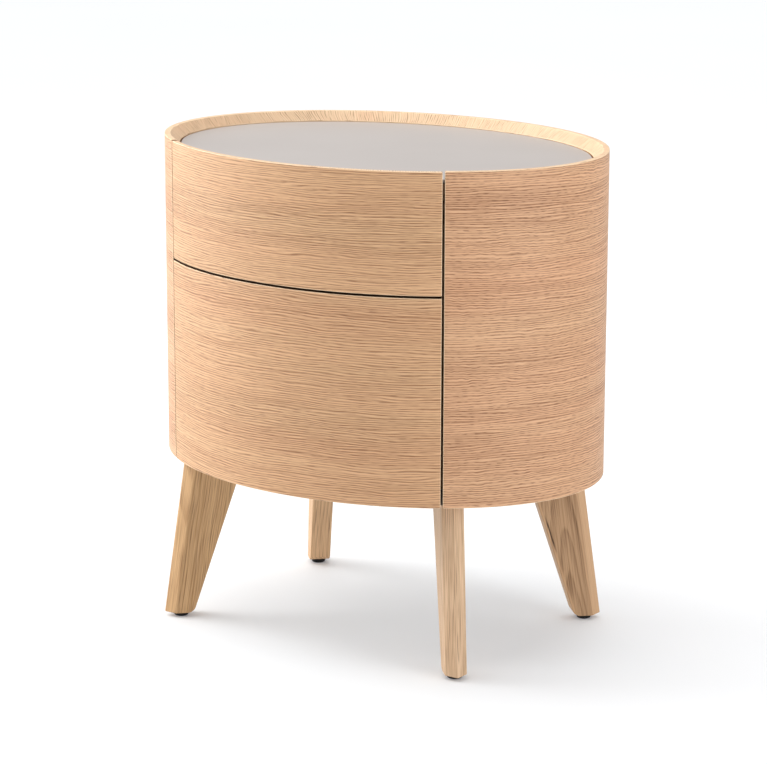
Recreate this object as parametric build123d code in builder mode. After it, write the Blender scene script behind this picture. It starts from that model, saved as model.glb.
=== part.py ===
from build123d import *
import math
import os

# Oval bedside cabinet on four splayed legs: a curved shell with a bevelled rim, a recessed
# glass top, and two push-to-open drawers on ball-bearing runners.
# Frame: +Z up, the drawers face -Y, the origin is on the floor under the middle of the oval.

os.makedirs("parts", exist_ok=True)

# ---- Driving dimensions, in millimetres ----
WIDTH = 500.0                # oval along X
DEPTH = 380.0                # oval along Y
HEIGHT = 520.0               # floor to the top of the rim
BODY_BOTTOM = 179.5          # lower edge of the shell and of the lower front
WALL = 16.0                  # curved shell and fronts
RIM_BEVEL = 10.0             # 45 degree bevel inside the rim, leaving a 6 mm flat top
EDGE_EASE = 0.8              # rounding of the outer edges

SPLIT_HEIGHT = 394.7         # middle of the gap between the two fronts
SEAM_X = 171.3               # middle of the gap beside the fronts, on the outer face
SHADOW_GAP = 2.4             # width of every gap round the fronts
RIM_STEP = 0.6               # the upper front stands this much lower than the shell
FRONT_CLEARANCE = 3.0        # fixed panels stop this far behind the curved fronts

PANEL = 16.0                 # top panel, bottom panel and partitions
PANEL_INSET = 1.5            # the bottom panel stands this far below the shell's lower edge
DIVIDER = 12.0               # panel between the drawers
GLASS = 4.0
GLASS_CHAMFER = 0.5
GLASS_SINK = 10.5            # glass surface below the top of the rim
GLASS_GAP = 1.8              # shadow line round the glass
PAD_HEIGHT = 1.0
PAD_RADIUS = 5.0
PAD_COUNT = 8
PAD_REACH = 0.82             # of the way from the middle to the inner wall

PARTITION_X = 152.0          # inner faces of the partitions
RUNNER_WIDTH = 12.7          # from partition to drawer side
RAIL_LENGTH = 235.0
RAIL_METAL = 1.2
# Each rail: reach of its flanges from its web, outwards positive, and its height
CABINET_RAIL = (-9.0, 35.0)
MIDDLE_RAIL = (-6.9, 29.0)
DRAWER_RAIL = (7.0, 23.0)
MIDDLE_RAIL_GAP = 3.6        # middle rail's web from the partition
GLUE_BLOCK = 26.0
DRAWER_BOARD = 12.0          # drawer sides and back
DRAWER_BACK_Y = 129.0        # rear face of the drawers
BASE_BOARD = 6.0
BASE_RISE = 8.0              # underside of the base above the lower edge of the sides
GROOVE = 5.0                 # depth of the grooves that hold the base

# name: lower edge of the box, height of its sides, height of the runner's middle
DRAWERS = {
    "upper": (405.0, 75.0, 438.0),
    "lower": (201.0, 162.0, 285.0),
}

LEG_THICKNESS = 23.0         # plank that lies along the oval's diagonal
LEG_OFFSET = 38.8            # plank's middle plane from the 45 degree line through the origin
LEG_NOSE_FLOOR = 233.4       # outer edge along the diagonal, at the floor
LEG_NOSE_TOP = 208.5         # outer edge along the diagonal, at the shell's lower edge
LEG_HEEL_FLOOR = 203.0       # inner face along the diagonal, at the floor
LEG_HEEL_TOP = 143.0         # inner face along the diagonal, at the shell's lower edge
LEG_HEEL_RADIUS = 10.0       # rounded inner corner at the foot
GLIDE_REACH = 214.0          # glide's middle along the diagonal
GLIDE_RADIUS = 8.25
GLIDE_HEIGHT = 4.5
GLIDE_ROUNDING = 1.6
GLIDE_SINK = (4.2, 2.0, 2.6)  # countersink: lower radius, upper radius, height

# Fasteners: a shank or dowel is (radius, length), a head is (radius, height)
BOLT_SHANK = (4.0, 29.2)
BOLT_HEAD = (6.5, 3.4)
BOLT_SOCKET = (2.6, 2.0)
BOLT_REACH = 162.0           # leg bolt's axis along the diagonal
BOLT_ROOM = 0.3              # clearance of the bolt in its panel hole
WASHER = (8.0, 1.2)
INSERT = (5.5, 15.0)
SCREW_SHANK = (1.75, 10.6)
SCREW_HEAD = (3.2, 1.8)
GLIDE_SCREW_SHANK = (1.75, 20.0)
GLIDE_SCREW_HEAD = (3.6, 1.9)
GLIDE_SCREW_SINK = 0.5       # screw head above the floor
PANEL_DOWEL = (4.0, 30.0)
THIN_DOWEL = (3.0, 24.0)
DOWEL_EMBED = 10.0           # panel dowel's length inside the panel
LEG_DOWEL_REACHES = (179.0, 195.0)
RAIL_SCREWS_Y = (-96.0, 0.0, 96.0)
PANEL_DOWELS_Y = (-90.0, 0.0, 90.0)
DIVIDER_DOWELS_Y = (-80.0, 0.0, 80.0)
BOARD_DOWEL_HEIGHTS = (0.35, 0.8)  # of a drawer side's height
BOARD_DOWEL_SHIFT = 4.0      # thin dowel's middle from the joint, towards the thicker board

LATCH_BODY = (18.0, 38.0, 22.0)
LATCH_EARS = (44.0, 14.0, 3.0)
LATCH_ROUNDING = 3.0
LATCH_AXIS = 12.5            # plunger's axis above the panel that carries the latch
LATCH_BORE_CLEARANCE = 0.06
PLUNGER_RADIUS = 4.0
PLUNGER_LENGTH = 23.0
PLUNGER_ROUNDING = 1.2
PLUNGER_GAP = 0.4            # plunger's tip to the drawer's back
SPRING_ROOM = 12.0
SPRING_WIRE = 0.5            # wire's radius
SPRING_RADIUS = 3.0
SPRING_PITCH = 2.2
SPRING_END_ROOM = 0.6        # coil's centre line from each end of its room

# ---- Worked-out positions ----
HALF_X = WIDTH / 2
HALF_Y = DEPTH / 2
SEAM_Y = -HALF_Y * math.sqrt(1 - (SEAM_X / HALF_X) ** 2)
SEAM_ANGLE = math.atan2(SEAM_X / HALF_X**2, -SEAM_Y / HALF_Y**2)
SEAM_APEX_Y = SEAM_Y + SEAM_X / math.tan(SEAM_ANGLE)

GLASS_TOP = HEIGHT - GLASS_SINK
TOP_PANEL_TOP = GLASS_TOP - GLASS - PAD_HEIGHT
TOP_PANEL_LOW = TOP_PANEL_TOP - PANEL
BOTTOM_PANEL_LOW = BODY_BOTTOM - PANEL_INSET
BOTTOM_PANEL_TOP = BOTTOM_PANEL_LOW + PANEL
PARTITION_HEIGHT = TOP_PANEL_LOW - BOTTOM_PANEL_TOP
DIVIDER_TOP = SPLIT_HEIGHT + DIVIDER / 2
INNER_X = HALF_X - WALL
INNER_Y = HALF_Y - WALL
PARTITION_OUTER_X = PARTITION_X + PANEL
PARTITION_HALF_Y = INNER_Y * math.sqrt(1 - (PARTITION_OUTER_X / INNER_X) ** 2)
SIDE_OUTER_X = PARTITION_X - RUNNER_WIDTH
SIDE_INNER_X = SIDE_OUTER_X - DRAWER_BOARD
LATCH_FRONT_Y = DRAWER_BACK_Y + 4.0
FRONTS = {
    "upper": (SPLIT_HEIGHT + SHADOW_GAP / 2, HEIGHT - RIM_STEP),
    "lower": (BODY_BOTTOM, SPLIT_HEIGHT - SHADOW_GAP / 2),
}

SIDES = {"left": -1, "right": 1}
CORNERS = {
    "front_left": (-1, -1),
    "front_right": (1, -1),
    "rear_left": (-1, 1),
    "rear_right": (1, 1),
}
SEAT = (Align.CENTER, Align.CENTER, Align.MIN)
HANG = (Align.CENTER, Align.CENTER, Align.MAX)


def write_part(piece, name):
    """Label a finished piece and write it to its own STEP file."""
    piece.part.label = name
    export_step(piece.part, f"parts/{name}.step")


def oval(inset):
    """Half axes of the body's oval, moved inwards by the inset."""
    return HALF_X - inset, HALF_Y - inset


def front_sector(widening, mode):
    """The sector between the two seams, each moved outwards by the widening."""
    apex = SEAM_APEX_Y + widening / math.sin(SEAM_ANGLE)
    spread = WIDTH * math.tan(SEAM_ANGLE)
    Polygon((0, apex), (-spread, apex - WIDTH), (spread, apex - WIDTH), align=None, mode=mode)


def diagonal(corner, height):
    """Plane at a height whose x axis runs out along the corner's 45 degree line."""
    return Plane(origin=(0, 0, height), x_dir=(*corner, 0), z_dir=(0, 0, 1))


def diagonal_place(corner, reach, height):
    """Place in a leg's middle plane, at a reach out along the diagonal."""
    across = -LEG_OFFSET * corner[0] * corner[1]
    return diagonal(corner, height).location * Location((reach, across, 0))


def leg_line(at_floor, at_shell, height):
    """Reach of a straight sloping leg edge at a height."""
    return at_floor + (at_shell - at_floor) * height / BODY_BOTTOM


# ---- Fasteners that repeat, each built once about its own origin ----
with BuildPart() as panel_dowel:
    Cylinder(*PANEL_DOWEL)
    chamfer(panel_dowel.edges().filter_by(GeomType.CIRCLE), PANEL_DOWEL[0] / 5)

with BuildPart() as thin_dowel:
    Cylinder(*THIN_DOWEL)
    chamfer(thin_dowel.edges().filter_by(GeomType.CIRCLE), THIN_DOWEL[0] / 5)

# Pan-head screw: the head stands on the XY plane, the shank goes down.
with BuildPart() as rail_screw:
    Cylinder(*SCREW_HEAD, align=SEAT)
    fillet(rail_screw.edges().group_by(Axis.Z)[-1], SCREW_HEAD[1] / 2)
    Cylinder(*SCREW_SHANK, align=HANG)
    chamfer(rail_screw.edges().group_by(Axis.Z)[0], SCREW_SHANK[0] / 2)

with BuildPart() as leg_bolt:
    Cylinder(*BOLT_HEAD, align=SEAT)
    fillet(leg_bolt.edges().group_by(Axis.Z)[-1], BOLT_HEAD[1] / 3)
    with BuildSketch(Plane.XY.offset(BOLT_HEAD[1])):
        RegularPolygon(BOLT_SOCKET[0], 6)
    extrude(amount=-BOLT_SOCKET[1], mode=Mode.SUBTRACT)
    Cylinder(*BOLT_SHANK, align=HANG)
    chamfer(leg_bolt.edges().group_by(Axis.Z)[0], BOLT_SHANK[0] / 5)

# Glide: the flat top lies against the leg, and a countersunk screw goes up through it.
with BuildPart() as glide:
    Cylinder(GLIDE_RADIUS, GLIDE_HEIGHT, align=SEAT)
    fillet(glide.edges().group_by(Axis.Z)[0], GLIDE_ROUNDING)
    Cone(*GLIDE_SINK, align=SEAT, mode=Mode.SUBTRACT)
    Cylinder(GLIDE_SINK[1], GLIDE_HEIGHT, align=SEAT, mode=Mode.SUBTRACT)

with BuildPart() as glide_screw:
    with Locations((0, 0, GLIDE_SCREW_SINK)):
        Cone(GLIDE_SCREW_HEAD[0], GLIDE_SCREW_SHANK[0], GLIDE_SCREW_HEAD[1], align=SEAT)
        Cylinder(*GLIDE_SCREW_SHANK, align=SEAT)

# ---- Places of the fasteners ----
dowel_shift = PANEL_DOWEL[1] / 2 - DOWEL_EMBED
panel_dowel_places = [
    Location((side * (PARTITION_X + PANEL / 2), y, height))
    for side in SIDES.values()
    for y in PANEL_DOWELS_Y
    for height in (BOTTOM_PANEL_TOP + dowel_shift, TOP_PANEL_LOW - dowel_shift)
]
divider_dowel_places = [
    Location((side * (PARTITION_X - dowel_shift), y, SPLIT_HEIGHT), (0, 90, 0))
    for side in SIDES.values()
    for y in DIVIDER_DOWELS_Y
]
bolt_places = [
    diagonal_place(corner, BOLT_REACH, BOTTOM_PANEL_TOP + WASHER[1]) for corner in CORNERS.values()
]
insert_places = [
    diagonal_place(corner, BOLT_REACH, BOTTOM_PANEL_LOW) for corner in CORNERS.values()
]
leg_dowel_places = [
    diagonal_place(corner, reach, BOTTOM_PANEL_LOW - dowel_shift)
    for corner in CORNERS.values()
    for reach in LEG_DOWEL_REACHES
]
glide_places = [diagonal_place(corner, GLIDE_REACH, 0) for corner in CORNERS.values()]


def latch_screw_places(panel_top):
    """Two screws down through the ears of a latch that stands on a panel."""
    middle_y = LATCH_FRONT_Y + LATCH_BODY[1] / 2
    spread = (LATCH_BODY[0] + LATCH_EARS[0]) / 4
    return [Location((x, middle_y, panel_top + LATCH_EARS[2])) for x in (-spread, spread)]


def rail_screw_places(side, face_x, outwards, middle):
    """Three screws through a rail's web, driven outwards (+1) or towards the drawer (-1)."""
    turn = (0, -90 * side * outwards, 0)
    return [Location((side * face_x, y, middle), turn) for y in RAIL_SCREWS_Y]


def back_dowel_places(side, low, height):
    """Dowels along X that join a drawer's side to its back."""
    middle_x = side * (SIDE_INNER_X - BOARD_DOWEL_SHIFT)
    middle_y = DRAWER_BACK_Y - DRAWER_BOARD / 2
    heights = [low + share * height for share in BOARD_DOWEL_HEIGHTS]
    return [Location((middle_x, middle_y, z), (0, 90, 0)) for z in heights]


def front_dowel_places(side, low, height):
    """Dowels along Y that join a drawer's side to its curved front."""
    middle_x = SIDE_OUTER_X - DRAWER_BOARD / 2
    middle_y = BOARD_DOWEL_SHIFT - INNER_Y * math.sqrt(1 - (middle_x / INNER_X) ** 2)
    heights = [low + share * height for share in BOARD_DOWEL_HEIGHTS]
    return [Location((side * middle_x, middle_y, z), (90, 0, 0)) for z in heights]


# ---- Curved shell ----
# The cone-like solid that bevels the inside of the rim at 45 degrees.
with BuildPart() as rim_bevel:
    with BuildSketch(Plane.XY.offset(HEIGHT - RIM_BEVEL)):
        Ellipse(*oval(WALL))
    with BuildSketch(Plane.XY.offset(HEIGHT)):
        Ellipse(*oval(WALL - RIM_BEVEL))
    loft(ruled=True)

with BuildPart() as side_shell:
    with BuildSketch(Plane.XY.offset(BODY_BOTTOM)):
        Ellipse(*oval(0))
        Ellipse(*oval(WALL), mode=Mode.SUBTRACT)
        front_sector(SHADOW_GAP / 2, Mode.SUBTRACT)
    extrude(amount=HEIGHT - BODY_BOTTOM)
    add(rim_bevel.part, mode=Mode.SUBTRACT)
    outer_face = side_shell.faces().sort_by(SortBy.AREA)[-1]
    fillet(outer_face.edges(), EDGE_EASE)
write_part(side_shell, "side_shell")

# ---- Fixed panels and glass ----
# Oval blank that fits the shell and stands clear of the curved fronts.
with BuildPart() as panel_blank:
    with BuildSketch():
        Ellipse(*oval(WALL))
        with Locations((0, FRONT_CLEARANCE)):
            Ellipse(*oval(WALL), mode=Mode.INTERSECT)
    extrude(amount=PANEL)

with BuildPart() as top_panel:
    with Locations((0, 0, TOP_PANEL_LOW)):
        add(panel_blank.part)
    with Locations(*panel_dowel_places):
        add(panel_dowel.part, mode=Mode.SUBTRACT)
write_part(top_panel, "top_panel")

with BuildPart() as bottom_panel:
    with Locations((0, 0, BOTTOM_PANEL_LOW)):
        add(panel_blank.part)
    with Locations(*panel_dowel_places, *leg_dowel_places):
        add(panel_dowel.part, mode=Mode.SUBTRACT)
    with Locations(*bolt_places):
        Cylinder(BOLT_SHANK[0] + BOLT_ROOM, BOLT_SHANK[1], align=HANG, mode=Mode.SUBTRACT)
    with Locations(*latch_screw_places(BOTTOM_PANEL_TOP)):
        add(rail_screw.part, mode=Mode.SUBTRACT)
write_part(bottom_panel, "bottom_panel")

with BuildPart() as glass_top:
    with BuildSketch(Plane.XY.offset(GLASS_TOP - GLASS)):
        Ellipse(*oval(WALL + GLASS_GAP))
    extrude(amount=GLASS)
    chamfer(glass_top.edges(), GLASS_CHAMFER)
write_part(glass_top, "glass_top")

with BuildPart() as glass_pads:
    for number in range(PAD_COUNT):
        turn = 2 * math.pi * (number + 0.5) / PAD_COUNT
        pad_x = PAD_REACH * INNER_X * math.cos(turn)
        pad_y = PAD_REACH * INNER_Y * math.sin(turn)
        with Locations((pad_x, pad_y, TOP_PANEL_TOP)):
            Cylinder(PAD_RADIUS, PAD_HEIGHT, align=SEAT)
write_part(glass_pads, "glass_pads")

with BuildPart() as divider_panel:
    with BuildSketch(Plane.XY.offset(SPLIT_HEIGHT - DIVIDER / 2)):
        with Locations((0, -PARTITION_HALF_Y)):
            Rectangle(2 * PARTITION_X, DEPTH, align=(Align.CENTER, Align.MIN))
        Ellipse(*oval(WALL), mode=Mode.INTERSECT)
    extrude(amount=DIVIDER)
    with Locations(*divider_dowel_places):
        add(thin_dowel.part, mode=Mode.SUBTRACT)
    with Locations(*latch_screw_places(DIVIDER_TOP)):
        add(rail_screw.part, mode=Mode.SUBTRACT)
write_part(divider_panel, "divider_panel")

# ---- Partitions, and the glue blocks that hold the shell to them ----
for side_name, side in SIDES.items():
    with BuildPart() as partition:
        with Locations((side * (PARTITION_X + PANEL / 2), 0, BOTTOM_PANEL_TOP)):
            Box(PANEL, 2 * PARTITION_HALF_Y, PARTITION_HEIGHT, align=SEAT)
        with Locations(*panel_dowel_places):
            add(panel_dowel.part, mode=Mode.SUBTRACT)
        with Locations(*divider_dowel_places):
            add(thin_dowel.part, mode=Mode.SUBTRACT)
        for low, height, runner in DRAWERS.values():
            with Locations(*rail_screw_places(side, PARTITION_X - RAIL_METAL, 1, runner)):
                add(rail_screw.part, mode=Mode.SUBTRACT)
    write_part(partition, f"{side_name}_partition")

with BuildPart() as glue_blocks:
    for corner in CORNERS.values():
        block_x = corner[0] * (PARTITION_OUTER_X + GLUE_BLOCK / 2)
        block_y = corner[1] * (PARTITION_HALF_Y - GLUE_BLOCK / 2)
        with Locations((block_x, block_y, BOTTOM_PANEL_TOP)):
            Box(GLUE_BLOCK, GLUE_BLOCK, PARTITION_HEIGHT, align=SEAT)
    with BuildSketch(Plane.XY.offset(BOTTOM_PANEL_TOP)):
        Ellipse(*oval(WALL))
    extrude(amount=PARTITION_HEIGHT, mode=Mode.INTERSECT)
write_part(glue_blocks, "glue_blocks")

with BuildPart() as partition_dowels:
    with Locations(*panel_dowel_places):
        add(panel_dowel.part)
write_part(partition_dowels, "partition_dowels")

with BuildPart() as divider_dowels:
    with Locations(*divider_dowel_places):
        add(thin_dowel.part)
write_part(divider_dowels, "divider_dowels")

# ---- Legs, with what fastens them, and the glides ----
for corner_name, corner in CORNERS.items():
    with BuildPart() as leg:
        for height in (GLIDE_HEIGHT, BOTTOM_PANEL_LOW):
            nose = leg_line(LEG_NOSE_FLOOR, LEG_NOSE_TOP, height)
            heel = leg_line(LEG_HEEL_FLOOR, LEG_HEEL_TOP, height)
            half = LEG_THICKNESS / 2
            with BuildSketch(diagonal(corner, height)):
                with Locations((0, -LEG_OFFSET * corner[0] * corner[1])):
                    Polygon(
                        (heel, -half),
                        (nose - half, -half),
                        (nose, 0),
                        (nose - half, half),
                        (heel, half),
                        align=None,
                    )
        loft(ruled=True)
        foot_edges = leg.edges().group_by(Axis.Z)[0]
        heel_edge = foot_edges.sort_by(lambda edge: edge.center().length)[0]
        fillet(heel_edge, LEG_HEEL_RADIUS)
        fillet(leg.edges().filter_by(lambda e: e.length > 0.6 * BODY_BOTTOM), EDGE_EASE)
        with Locations(*insert_places):
            Cylinder(*INSERT, align=HANG, mode=Mode.SUBTRACT)
        with Locations(*leg_dowel_places):
            add(panel_dowel.part, mode=Mode.SUBTRACT)
        with Locations(*glide_places):
            add(glide_screw.part, mode=Mode.SUBTRACT)
    write_part(leg, f"{corner_name}_leg")

with BuildPart() as leg_bolts:
    with Locations(*bolt_places):
        add(leg_bolt.part)
write_part(leg_bolts, "leg_bolts")

with BuildPart() as leg_washers:
    with Locations(*bolt_places):
        Cylinder(*WASHER, align=HANG)
        Cylinder(BOLT_SHANK[0] + BOLT_ROOM, WASHER[1], align=HANG, mode=Mode.SUBTRACT)
write_part(leg_washers, "leg_washers")

with BuildPart() as leg_inserts:
    with Locations(*insert_places):
        Cylinder(*INSERT, align=HANG)
        Cylinder(BOLT_SHANK[0], INSERT[1], align=HANG, mode=Mode.SUBTRACT)
write_part(leg_inserts, "leg_inserts")

with BuildPart() as leg_dowels:
    with Locations(*leg_dowel_places):
        add(panel_dowel.part)
write_part(leg_dowels, "leg_dowels")

with BuildPart() as glides:
    with Locations(*glide_places):
        add(glide.part)
write_part(glides, "glides")

with BuildPart() as glide_screws:
    with Locations(*glide_places):
        add(glide_screw.part)
write_part(glide_screws, "glide_screws")


# ---- Runners: three nested channels on each side of each drawer ----
def channel(side, web_x, flange, rail_height, middle):
    """Channel along Y: its web stands at web_x, and its flanges reach on by the flange."""
    web = math.copysign(RAIL_METAL, flange)
    with Locations((side * (web_x + flange / 2), 0, middle)):
        Box(abs(flange), RAIL_LENGTH, rail_height)
    with Locations((side * (web_x + (web + flange) / 2), 0, middle)):
        Box(abs(flange - web), RAIL_LENGTH, rail_height - 2 * RAIL_METAL, mode=Mode.SUBTRACT)


for drawer, (low, height, runner) in DRAWERS.items():
    for side_name, side in SIDES.items():
        with BuildPart() as cabinet_rail:
            channel(side, PARTITION_X, *CABINET_RAIL, runner)
            with Locations(*rail_screw_places(side, PARTITION_X - RAIL_METAL, 1, runner)):
                add(rail_screw.part, mode=Mode.SUBTRACT)
        write_part(cabinet_rail, f"{drawer}_{side_name}_cabinet_rail")

        with BuildPart() as middle_rail:
            channel(side, PARTITION_X - MIDDLE_RAIL_GAP, *MIDDLE_RAIL, runner)
        write_part(middle_rail, f"{drawer}_{side_name}_middle_rail")

        with BuildPart() as drawer_rail:
            channel(side, SIDE_OUTER_X, *DRAWER_RAIL, runner)
            with Locations(*rail_screw_places(side, SIDE_OUTER_X + RAIL_METAL, -1, runner)):
                add(rail_screw.part, mode=Mode.SUBTRACT)
        write_part(drawer_rail, f"{drawer}_{side_name}_drawer_rail")

with BuildPart() as cabinet_rail_screws:
    for low, height, runner in DRAWERS.values():
        for side in SIDES.values():
            with Locations(*rail_screw_places(side, PARTITION_X - RAIL_METAL, 1, runner)):
                add(rail_screw.part)
write_part(cabinet_rail_screws, "cabinet_rail_screws")

# ---- Drawers ----
for drawer, (low, height, runner) in DRAWERS.items():
    front_low, front_high = FRONTS[drawer]
    base_low = low + BASE_RISE

    with BuildPart() as front:
        with BuildSketch(Plane.XY.offset(front_low)):
            Ellipse(*oval(0))
            Ellipse(*oval(WALL), mode=Mode.SUBTRACT)
            front_sector(-SHADOW_GAP / 2, Mode.INTERSECT)
        extrude(amount=front_high - front_low)
        if drawer == "upper":
            add(rim_bevel.part, mode=Mode.SUBTRACT)
        outer_face = front.faces().sort_by(SortBy.AREA)[-1]
        fillet(outer_face.edges(), EDGE_EASE)
        with BuildSketch(Plane.XY.offset(base_low)):
            Rectangle(2 * (SIDE_INNER_X + GROOVE), DEPTH)
            Ellipse(*oval(WALL - GROOVE), mode=Mode.INTERSECT)
        extrude(amount=BASE_BOARD, mode=Mode.SUBTRACT)
        for side in SIDES.values():
            with Locations(*front_dowel_places(side, low, height)):
                add(thin_dowel.part, mode=Mode.SUBTRACT)
    write_part(front, f"{drawer}_front")

    with BuildPart() as base:
        with BuildSketch(Plane.XY.offset(base_low)):
            with Locations((0, DRAWER_BACK_Y - DRAWER_BOARD + GROOVE)):
                Rectangle(
                    2 * (SIDE_INNER_X + GROOVE), DEPTH, align=(Align.CENTER, Align.MAX)
                )
            Ellipse(*oval(WALL - GROOVE), mode=Mode.INTERSECT)
        extrude(amount=BASE_BOARD)
    write_part(base, f"{drawer}_base")

    for side_name, side in SIDES.items():
        with BuildPart() as side_board:
            with BuildSketch(Plane.XY.offset(low)):
                with Locations((side * (SIDE_OUTER_X - DRAWER_BOARD / 2), DRAWER_BACK_Y)):
                    Rectangle(DRAWER_BOARD, DEPTH, align=(Align.CENTER, Align.MAX))
                Ellipse(*oval(WALL), mode=Mode.INTERSECT)
            extrude(amount=height)
            add(base.part, mode=Mode.SUBTRACT)
            with Locations(*front_dowel_places(side, low, height)):
                add(thin_dowel.part, mode=Mode.SUBTRACT)
            with Locations(*back_dowel_places(side, low, height)):
                add(thin_dowel.part, mode=Mode.SUBTRACT)
            with Locations(*rail_screw_places(side, SIDE_OUTER_X + RAIL_METAL, -1, runner)):
                add(rail_screw.part, mode=Mode.SUBTRACT)
        write_part(side_board, f"{drawer}_{side_name}_side")

    with BuildPart() as back:
        with Locations((0, DRAWER_BACK_Y - DRAWER_BOARD / 2, low)):
            Box(2 * SIDE_INNER_X, DRAWER_BOARD, height, align=SEAT)
        add(base.part, mode=Mode.SUBTRACT)
        for side in SIDES.values():
            with Locations(*back_dowel_places(side, low, height)):
                add(thin_dowel.part, mode=Mode.SUBTRACT)
    write_part(back, f"{drawer}_back")

    with BuildPart() as drawer_dowels:
        for side in SIDES.values():
            places = front_dowel_places(side, low, height) + back_dowel_places(side, low, height)
            with Locations(*places):
                add(thin_dowel.part)
    write_part(drawer_dowels, f"{drawer}_drawer_dowels")

    with BuildPart() as drawer_rail_screws:
        for side in SIDES.values():
            with Locations(*rail_screw_places(side, SIDE_OUTER_X + RAIL_METAL, -1, runner)):
                add(rail_screw.part)
    write_part(drawer_rail_screws, f"{drawer}_rail_screws")

# ---- Push latches behind the drawers: the plunger slides in a bore against a spring ----
for drawer, panel_top in (("upper", DIVIDER_TOP), ("lower", BOTTOM_PANEL_TOP)):
    axis_z = panel_top + LATCH_AXIS
    tip_y = DRAWER_BACK_Y + PLUNGER_GAP
    spring_y = tip_y + PLUNGER_LENGTH

    with BuildPart() as latch_housing:
        with Locations((0, LATCH_FRONT_Y + LATCH_BODY[1] / 2, panel_top)):
            Box(*LATCH_BODY, align=SEAT)
            fillet(latch_housing.edges().filter_by(Axis.Y).group_by(Axis.Z)[-1], LATCH_ROUNDING)
            Box(*LATCH_EARS, align=SEAT)
        with Locations(*latch_screw_places(panel_top)):
            add(rail_screw.part, mode=Mode.SUBTRACT)
        with BuildSketch(Plane((0, LATCH_FRONT_Y, axis_z), (1, 0, 0), (0, 1, 0))):
            Circle(PLUNGER_RADIUS + LATCH_BORE_CLEARANCE)
        extrude(amount=spring_y + SPRING_ROOM - LATCH_FRONT_Y, mode=Mode.SUBTRACT)
    write_part(latch_housing, f"{drawer}_latch_housing")

    with BuildPart() as plunger:
        with BuildSketch(Plane((0, tip_y, axis_z), (1, 0, 0), (0, 1, 0))):
            Circle(PLUNGER_RADIUS)
        extrude(amount=PLUNGER_LENGTH)
        fillet(plunger.edges().group_by(Axis.Y)[0], PLUNGER_ROUNDING)
    write_part(plunger, f"{drawer}_latch_plunger")

    with BuildPart() as spring:
        spring_end = (0, spring_y + SPRING_END_ROOM, axis_z)
        coil_length = SPRING_ROOM - 2 * SPRING_END_ROOM
        with BuildLine() as coil:
            Helix(SPRING_PITCH, coil_length, SPRING_RADIUS, spring_end, (0, 1, 0))
        with BuildSketch(Plane(coil.line @ 0, z_dir=coil.line % 0)):
            Circle(SPRING_WIRE)
        sweep(is_frenet=True)
    write_part(spring, f"{drawer}_latch_spring")

with BuildPart() as latch_screws:
    for panel_top in (DIVIDER_TOP, BOTTOM_PANEL_TOP):
        with Locations(*latch_screw_places(panel_top)):
            add(rail_screw.part)
write_part(latch_screws, "latch_screws")
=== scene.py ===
import math

import bmesh
import bpy
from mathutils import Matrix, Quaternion, Vector


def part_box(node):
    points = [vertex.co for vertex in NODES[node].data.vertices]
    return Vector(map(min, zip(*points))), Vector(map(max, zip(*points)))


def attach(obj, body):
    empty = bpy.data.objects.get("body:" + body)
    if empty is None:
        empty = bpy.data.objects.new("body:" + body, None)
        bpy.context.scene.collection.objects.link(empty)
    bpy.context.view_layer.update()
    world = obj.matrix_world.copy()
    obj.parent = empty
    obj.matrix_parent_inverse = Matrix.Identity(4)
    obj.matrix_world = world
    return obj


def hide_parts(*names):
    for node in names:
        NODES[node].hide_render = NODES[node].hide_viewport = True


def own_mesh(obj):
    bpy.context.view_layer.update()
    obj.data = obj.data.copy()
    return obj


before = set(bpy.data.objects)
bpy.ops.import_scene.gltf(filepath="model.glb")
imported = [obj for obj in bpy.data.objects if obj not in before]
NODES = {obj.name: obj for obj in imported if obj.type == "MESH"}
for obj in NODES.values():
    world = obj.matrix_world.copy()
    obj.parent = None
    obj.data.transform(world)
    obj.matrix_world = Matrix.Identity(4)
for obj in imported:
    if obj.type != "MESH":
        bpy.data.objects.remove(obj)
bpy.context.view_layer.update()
MM = 0.001

# ---- Sizes read from the frame, in metres ----
SHELL_LOW, SHELL_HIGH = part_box("side_shell")
GLASS_LOW, GLASS_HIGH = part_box("glass_top")
HALF_X = SHELL_HIGH.x
HALF_Y = SHELL_HIGH.y
RIM_TOP = SHELL_HIGH.z
BODY_BOTTOM = SHELL_LOW.z
FRONT_BOXES = {name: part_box(f"{name}_front") for name in ("upper", "lower")}

# ---- The curved body, as part.py has it ----
WALL = 16 * MM
RIM_BEVEL = 10 * MM
SEAM_X = 171.3 * MM          # the right-hand seam on the outer oval
SHADOW_GAP = 2.4 * MM        # between the shell and the fronts
SEAM_Y = -HALF_Y * math.sqrt(1 - (SEAM_X / HALF_X) ** 2)
SEAM_ANGLE = math.atan2(SEAM_X / HALF_X**2, -SEAM_Y / HALF_Y**2)
SHELL_STEPS = 220            # round the back, from seam to seam
FRONT_STEPS = 96
LINE_PITCH = 2.5 * MM        # between the veneer's growth lines

# ---- Small roundings that the CAD leaves out ----
WALL_ARRIS = 0.6 * MM
RIM_CORNER = 1.0 * MM        # where a wall's end meets the rim
LOWER_CORNER = 1.5 * MM      # where a wall's end meets its lower edge
GLASS_ARRIS = 0.6 * MM
BOARD_ARRIS = 0.5 * MM
STEEL_ARRIS = 0.2 * MM

# ---- The legs, as part.py has them ----
CORNERS = {
    "front_left": (-1, -1),
    "front_right": (1, -1),
    "rear_left": (-1, 1),
    "rear_right": (1, 1),
}
LEG_THICKNESS = 23 * MM
LEG_OFFSET = 38.8 * MM       # of a leg's middle plane from the corner's diagonal
# How far out the nose and the heel stand, at the floor and at the body's lower edge.
LEG_NOSE = (233.4 * MM, 208.5 * MM)
LEG_HEEL = (203.0 * MM, 143.0 * MM)
LEG_ROWS = 24
LEG_NOSE_ROUNDING = 2.6 * MM
LEG_HEEL_ROUNDING = 6.5 * MM
LEG_ARRIS = 1.2 * MM

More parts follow.
